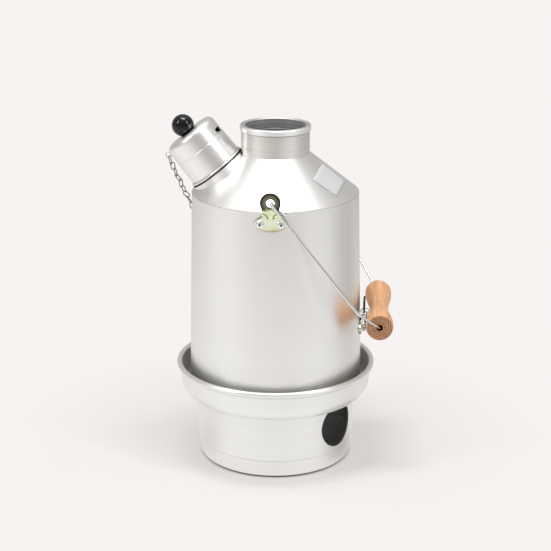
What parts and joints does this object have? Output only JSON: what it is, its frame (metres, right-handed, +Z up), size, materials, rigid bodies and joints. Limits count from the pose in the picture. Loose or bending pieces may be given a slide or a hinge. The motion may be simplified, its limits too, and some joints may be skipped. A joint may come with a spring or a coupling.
{
  "type": "storm kettle",
  "caption": "Spun aluminium storm kettle with a central chimney, whistling spout cap on a chain, wooden-gripped wire bail and separate fire base.",
  "frame": {"origin": "centre of the fire base's underside, on the kettle's axis", "axes": "+Z up the kettle's axis; the spout points to -X and the bail hangs to +X"},
  "size_m": [0.2036, 0.18, 0.3134],
  "materials": {
    "spun_aluminium": "satin",
    "rivet_aluminium": "gloss",
    "black_rubber": "matte",
    "black_phenolic": "gloss",
    "plated_steel": "gloss",
    "passivated_steel": "satin",
    "beech": "satin"
  },
  "bodies": {
    "base": {"fire_base": "spun_aluminium"},
    "kettle": {"body_shell": "spun_aluminium", "shoulder": "spun_aluminium", "chimney": "spun_aluminium", "spout_collar": "spun_aluminium", "spout_seal": "black_rubber", "lug_front": "passivated_steel", "lug_rear": "passivated_steel", "lug_lower": "passivated_steel", "lug_rivets": "rivet_aluminium", "chain_upper": "plated_steel", "chain_lower": "plated_steel", "chain_ring": "plated_steel"},
    "bail": {"bail_wire": "plated_steel"},
    "grip": {"grip": "beech"},
    "cap": {"cap_shell": "spun_aluminium", "whistle_capsule": "spun_aluminium", "knob_ball": "black_phenolic", "knob_stud": "plated_steel", "knob_washer": "plated_steel", "knob_nut": "plated_steel", "chain_staple": "plated_steel", "staple_washer": "plated_steel"}
  },
  "joints": [
    {"name": "kettle_lift", "type": "slide", "parent": "base", "child": "kettle", "axis": [0, 0, 1], "range_m": [0, 0.06]},
    {"name": "bail_swing", "type": "hinge", "parent": "kettle", "child": "bail", "pos_m": [0, 0, 0.255], "axis": [0, -1, 0], "range_deg": [0, 260]},
    {"name": "grip_turn", "type": "hinge", "parent": "bail", "child": "grip", "pos_m": [0.09363, 0, 0.13666], "axis": [0, 1, 0], "continuous": true},
    {"name": "cap_lift", "type": "slide", "parent": "kettle", "child": "cap", "axis": [-0.6216, 0, 0.7834], "range_m": [0, 0.018], "deforming": ["chain_upper"]}
  ]
}
